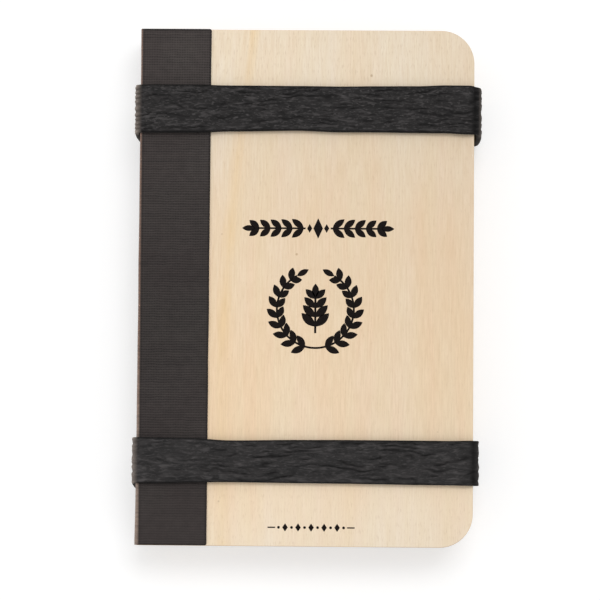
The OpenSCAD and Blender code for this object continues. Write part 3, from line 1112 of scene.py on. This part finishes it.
def pucker(band, low, high, facts):
    """Moves every point of a plain band to its place on the puckered, stretched one."""
    seed = facts["seed"]
    skin = band.data.attributes.new("skin", "FLOAT_VECTOR", "POINT")
    for vertex, mark in zip(band.data.vertices, skin.data):
        place = vertex.co
        x_mm = place.x / MM
        depth, out = under_outside(place.x, place.z, low, high)
        outer = ease(1 - depth / BAND_T)
        up = ease((place.z - low.z) / (high.z - low.z))
        top_run = ramp(place.z - high.z, -RUN_REACH, RUN_FADE)
        under_run = ramp(low.z - place.z, -RUN_REACH, RUN_FADE)
        across = (place.y - low.y) / (high.y - low.y)
        to_edge = min(across, 1 - across)

        # The creases are calmer at the spine, and turn into ribs where the loop turns
        unrolled = Vector((place.x, place.y, high.z - DOWN_A_FLANK * (high.z - place.z)))
        lively = 1 - facts["calm"] * ramp(-x_mm, *CALM_TO_SPINE)
        crest = 1 - lively * (1 - crinkle(unrolled, facts["pitch"], seed))
        off_middle = abs(place.z - (low.z + high.z) / 2) / MM
        at_turn = facts["ribbed"] * ramp(abs(x_mm), *RIBBED_TURN)
        at_turn *= RIB_LEAST + (1 - RIB_LEAST) * ramp(off_middle, *RIBBED_FLANK)
        crest += at_turn * (rib(place, facts["rib_pitch"][x_mm > 0], seed) - crest)

        # They fade at the long edges, and are shallower under the press
        sink = max(facts["depth"] * MM * (1 - crest),
                   SMALL_DEPTH * (1 - crinkle(unrolled, SMALL_PITCH, seed + 50)))
        sink -= RIDGE_RISE * crest * short_ridge(place, seed) * (1 - under_run)
        sink *= EDGE_LEAST + (1 - EDGE_LEAST) * ease(to_edge * EDGE_FADE)
        sink *= 1 - UNDER_SHALLOW * under_run

        # The pinch at the rim, and the marks that the finish reads, with the painted shade of the
        # long edges and the pinch
        pinch = math.exp(-((x_mm - PINCH_X) / PINCH_WIDTH) ** 2) * top_run
        sink += PINCH * pinch
        from_edge = to_edge * (high.y - low.y) / MM
        edge_end = ease((DARK_EDGE[1] - from_edge) / (DARK_EDGE[1] - DARK_EDGE[0]))
        painted_rim_shade_and_light = max(edge_end, pinch * (1 - RIDGES_PALER * crest))
        mark.vector = (crest * (1 - PINCH_FLATTENS * pinch), painted_rim_shade_and_light, facts["wiry"])
        at_spine = ramp(fold_x - place.x, -SPINE_REACH, SPINE_REACH)
        swell = SKIN_SWELL * (1 - under_run) * (1 - at_spine)
        seam = SEAM_LIFT * under_run * ramp(SEAM_HALF - abs(place.x), -SEAM_FADE, SEAM_FADE)
        place += out * outer * (swell - sink - seam)

        # Round the spine it lies tight on the bowed cloth
        bow = spine_bow(place.z) * (1 - BOW_EASED * outer)
        place.x += at_spine * (SPINE_BULGE - bow + facts["spine_thin"] * MM * outer)

        # The top run lies higher on the cloth than on the wood
        off_cloth = ramp(x_mm - flap_edge_x / MM, *OFF_THE_CLOTH)
        place.z -= STEP_DOWN * top_run * off_cloth * (1 - STEP_BACK * ramp(x_mm, *UP_TO_RIM))

        # The flank by the fore edge bows out
        if place.x > high.x - FORE_REACH:
            arch = math.sin(math.pi * portion(place.z, low.z, high.z - low.z))
            place.x += facts["fore_bow"] * MM * arch ** FORE_ROUND

        # The two long edges wander, and the back run lies askew
        front = (1 - across) * between(facts["tail_edge"], x_mm)
        front += across * between(facts["head_edge"], x_mm)
        spine_end, fore_end = facts["back"]
        back = spine_end + (fore_end - spine_end) * ramp(x_mm, *FROM_SPINE)
        place.y += (up * front + (1 - up) * back) * MM


print("a loop is pinched by", round(PINCH / MM, 2), "mm at the rim")

# %% [markdown]
# ## Both loops
# A loop that is taken off goes slack. Here each loop is modelled, finished and seated on its
# body, in place of its CAD solid.

# %% Both loops
def ride_loop(piece, which, slot, node):
    """Seats a piece on the upper or lower loop, in place of a CAD node, and gives it its own mesh.
    """
    seat(piece, which + "_loop", slot, node)
    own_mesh(piece)


def elastic_loop(which):
    """Models one elastic loop, and seats it on its body."""
    low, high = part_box(which + "_band")
    facts = loop_facts[which]
    band = loop_blank(which + "_elastic", low, high)
    pucker(band, low, high, facts)
    finish_piece(band, elastic, 60)
    ride_loop(band, which, "elastic", which + "_band")


for which in loop_facts:
    elastic_loop(which)

# %% [markdown]
# ## Zigzag stitching
# Each loop is a length of elastic whose two ends are sewn together with a zigzag of black
# thread, on the run under the press. A thread is round and dips into the elastic at every
# needle hole, so it is drawn as a curve with a round section that sinks at each turn, and is
# then made a mesh.

# %% Thread and stitching
THREAD_R = 0.17 * MM
STITCH_STEP = 1.1 * MM
STITCH_SWING = 1.25 * MM
STITCH_LIFT = 0.05 * MM
STITCH_DIP = 0.12 * MM
POINTS_IN_A_STITCH = 6


def thread_finish():
    """Twisted black polyester thread: a dark satin with slanting plies."""
    material, add = new_material("black polyester thread")
    plies = add("TexWave", {"Vector": place_in_mm(add), "Scale": 1.6, "Distortion": 1.0},
                bands_direction="DIAGONAL")
    finish_material(add, add("Mix", plies, "#161515", "#2C2A2A"), plies, 0.5, 0.05, Roughness=0.45)
    return material


def round_curve(name, points, radius):
    """A smooth tube through points, made a mesh."""
    path = bpy.data.curves.new(name, "CURVE")
    path.dimensions = "3D"
    path.bevel_depth = radius
    path.bevel_resolution = 2
    path.use_fill_caps = True
    spline = path.splines.new("POLY")
    spline.points.add(len(points) - 1)
    for point, place in zip(spline.points, points):
        point.co = (*place, 1)
    tube = bpy.data.objects.new(name, path)
    bpy.context.collection.objects.link(tube)
    select_only(tube)
    bpy.ops.object.convert(target="MESH")
    return bpy.context.object


thread = thread_finish()


def zigzag(which):
    """The stitching that closes one loop."""
    low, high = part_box(which + "_band_stitching")
    spine_end, fore_end = loop_facts[which]["back"]
    askew = (spine_end + fore_end) / 2 * MM
    stitches = round((high.y - low.y) / STITCH_STEP)
    points = []
    for i in range(stitches * POINTS_IN_A_STITCH + 1):
        share = i / POINTS_IN_A_STITCH
        swing = 1 - 2 * abs((share % 2) - 1)
        height = THREAD_R + STITCH_LIFT + STITCH_DIP * abs(math.cos(math.pi * share))
        points.append((swing * STITCH_SWING, low.y + share * STITCH_STEP + askew, height))
    stitching = round_curve(which + "_zigzag", points, THREAD_R)
    face_outwards(stitching)
    finish_piece(stitching, thread, 60)
    ride_loop(stitching, which, "thread", which + "_band_stitching")


for which in loop_facts:
    zigzag(which)

# %% [markdown]
# ## Printed ornaments
# The front cover carries print in near-black ink. Here it is a generic set of plant
# ornaments: a garland above, a wreath round an upright sprig in the middle, and a row of
# lozenges and dots below. Ink is a film a few hundredths of a millimetre thick. It could be a
# mask in the wood's material, but thin solids keep sharp edges at any distance. A leaf, a
# lozenge and a dot are modelled once each, from a circle, and every other one is a copy.

# %% Ink finish and stamps
INK_T = 0.03 * MM
INK_SUNK = 0.01 * MM  # how far the ink has soaked in
INK_GRAIN = 2600  # specks in the ink to a metre

ink, add = new_material("black-brown printing ink")
patchy = add("TexNoise", add("TexCoord").outputs["Object"], INK_GRAIN, 2)
patchy = add("MapRange", patchy, 0.35, 0.7)
ink_colour = add("Mix", patchy, "#0E0A09", "#1A1412")
finish_material(add, ink_colour, patchy, 0.3, 0.02, Roughness=0.6, Specular_IOR_Level=0.06)

ink_z = board_high.z - INK_SUNK


def ink_stamp(name, corners, pointed):
    """A flat shape of unit size with the thickness of ink: pointed at both ends, or round."""
    select_only()
    bpy.ops.mesh.primitive_circle_add(vertices=corners, radius=0.5, fill_type="NGON")
    stamp = bpy.context.object
    stamp.name = name
    if pointed:
        for vertex in stamp.data.vertices:
            vertex.co.y = math.copysign(2 * vertex.co.y ** 2, vertex.co.y)
    with editing(stamp):
        bpy.ops.mesh.select_all(action="SELECT")
        bpy.ops.mesh.extrude_region_move(TRANSFORM_OT_translate={"value": (0, 0, INK_T)})
    face_outwards(stamp)
    return stamp


leaf_stamp = ink_stamp("leaf", 20, True)
lozenge_stamp = ink_stamp("lozenge", 4, False)
dot_stamp = ink_stamp("dot", 20, False)


marks = []  # what has been printed of the ornament in hand


def print_stamp(stamp, x, y, length, width, turn=0):
    """Prints one stamp with its middle at a place in millimetres, turned by degrees."""
    mark = copy_of(stamp)
    mark.matrix_world = (Matrix.Translation((x * MM, y * MM, ink_z))
                         @ Matrix.Rotation(math.radians(turn), 4, "Z")
                         @ Matrix.Diagonal((length * MM, width * MM, 1, 1)))
    marks.append(mark)


def print_leaf(x, y, length, width, turn):
    """Prints a leaf that grows out of a stem at a place, towards a direction in degrees."""
    way = math.radians(turn)
    middle_x = x + math.cos(way) * length / 2
    middle_y = y + math.sin(way) * length / 2
    print_stamp(leaf_stamp, middle_x, middle_y, length, width, turn)


def print_line(points, width):
    """Prints a line through places in millimetres: a round tube pressed flat."""
    tube = round_curve("line", [(x * MM, y * MM, 0) for x, y in points], width / 2 * MM)
    tube.scale.z = INK_T / (width * MM)
    tube.location.z = ink_z + INK_T / 2
    marks.append(tube)


def press_together(name):
    """Joins the marks in hand into one piece of ink on the front cover."""
    select_only(*marks)
    marks.clear()
    apply_place()
    bpy.ops.object.join()
    ornament = bpy.context.object
    ornament.name = ornament.data.name = name
    finish_piece(ornament, ink)
    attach(ornament, "front_cover")


def mirrored(turn, side):
    """A direction in degrees on the right side, or its mirror image on the left side."""
    return turn if side > 0 else 180 - turn


print("stamps ready, ink is", round(INK_T / MM, 3), "mm thick")

# %% [markdown]
# ## Wreath and sprig
# The wreath has two stems that cross at the foot, rise round the ring and leave a gap at the
# top. A pair of leaves grows out of each stem at even steps, one outwards and one inwards,
# smaller towards the tip. The sprig inside is straight, with four pairs of leaves and one at
# its tip.

# %% Wreath and sprig
WREATH_PLACE = (2.9, -6.2)
WREATH_R = 10.4
WREATH_NODES = 9
STEM_WIDTH = 0.55
STEM_ANGLES = range(-9, 152, 4)  # places along a stem, in degrees from the foot of the wreath
FIRST_NODE = 15
NODE_STEP = 15.5
LEAF_SPREAD = 38  # the angle between a leaf and its stem
LEAF_LENGTH = 4.2
LEAF_SHRINKS = 0.08
OUTER_WIDTH, INNER_WIDTH = 1.9, 1.8
INNER_SHARE = 0.9  # an inner leaf is a little shorter than an outer one
TIP_LEAF = (3.6, 1.6)
SPRIG_SPREAD = 46
SPRIG_STEP = 2.5
SPRIG_FOOT, SPRIG_TIP = 6.4, 3.6  # how far the sprig reaches below and above the middle
SPRIG_WIDTH = 0.6
SPRIG_PAIRS = 4
SPRIG_FIRST = 1.8  # from the foot to the first pair of leaves

centre_x, centre_y = WREATH_PLACE
for side in (-1, 1):
    def on_ring(angle):
        """A place on one stem, by its angle from the foot of the wreath."""
        way = math.radians(angle)
        return centre_x + side * WREATH_R * math.sin(way), centre_y - WREATH_R * math.cos(way)

    print_line([on_ring(angle) for angle in STEM_ANGLES], STEM_WIDTH)
    for i in range(WREATH_NODES):
        angle = FIRST_NODE + i * NODE_STEP
        grows = mirrored(angle, side)
        length = LEAF_LENGTH - LEAF_SHRINKS * i
        print_leaf(*on_ring(angle), length, OUTER_WIDTH, grows - side * LEAF_SPREAD)
        print_leaf(*on_ring(angle), length * INNER_SHARE, INNER_WIDTH, grows + side * LEAF_SPREAD)
    print_leaf(*on_ring(STEM_ANGLES[-1]), *TIP_LEAF, mirrored(STEM_ANGLES[-1], side))

stem_low, stem_high = centre_y - SPRIG_FOOT, centre_y + SPRIG_TIP
print_line([(centre_x, stem_low), (centre_x, stem_high)], SPRIG_WIDTH)
for i in range(SPRIG_PAIRS):
    y = stem_low + SPRIG_FIRST + i * SPRIG_STEP
    for side in (1, -1):
        print_leaf(centre_x, y, 5.2 - 0.5 * i, 2.3 - 0.15 * i, mirrored(90 - SPRIG_SPREAD, side))
print_leaf(centre_x, stem_high - 0.4, 3.8, 1.9, 90)
press_together("ink_wreath")

# %% [markdown]
# ## Garland and row
# The garland above is two mirrored stems that grow outwards from three lozenges, with pairs
# of leaves at even steps and one leaf at each end. The row below alternates lozenges and
# dots between two short lines. Sizes are pairs, the length and then the width.

# %% Garland
GARLAND_PLACE = (3.5, 15.8)
GARLAND_STEM = (3.4, 17.6)  # from where to where a stem runs, out from the middle
GARLAND_PAIRS = 5
GARLAND_STEP = 3.0
GARLAND_WIDTH = 0.5
BIG_LOZENGE = (2.6, 5.6)
SMALL_LOZENGE = (1.4, 2.4)

centre_x, centre_y = GARLAND_PLACE
print_stamp(lozenge_stamp, centre_x, centre_y, *BIG_LOZENGE)
for side in (-1, 1):
    print_stamp(lozenge_stamp, centre_x + side * 2.3, centre_y, *SMALL_LOZENGE)
    stem_start, stem_end = (centre_x + side * reach for reach in GARLAND_STEM)
    print_line([(stem_start, centre_y), (stem_end, centre_y)], GARLAND_WIDTH)
    for i in range(GARLAND_PAIRS):
        x = stem_start + side * (0.5 + i * GARLAND_STEP)
        for up in (-1, 1):
            print_leaf(x, centre_y, 4.1 - 0.15 * i, 1.75, mirrored(up * LEAF_SPREAD, side))
    print_leaf(stem_end - side * 0.6, centre_y, *TIP_LEAF, mirrored(0, side))
press_together("ink_garland")

# %% Row of lozenges
ROW_PLACE = (2.2, -64.9)
ROW_STEP = 1.75
ROW_REACH = 5
ROW_DOT = (0.75, 0.75)
ROW_LOZENGE = (1.5, 2.2)
ROW_LINE = (ROW_REACH * ROW_STEP + 0.9, 11.7)  # from where to where a line runs
ROW_WIDTH = 0.35

centre_x, centre_y = ROW_PLACE
for i in range(-ROW_REACH, ROW_REACH + 1):
    stamp, size = (dot_stamp, ROW_DOT) if i % 2 else (lozenge_stamp, ROW_LOZENGE)
    print_stamp(stamp, centre_x + i * ROW_STEP, centre_y, *size)
for side in (-1, 1):
    print_line([(centre_x + side * reach, centre_y) for reach in ROW_LINE], ROW_WIDTH)
press_together("ink_row")

for stamp in (leaf_stamp, lozenge_stamp, dot_stamp):
    bpy.data.objects.remove(stamp)
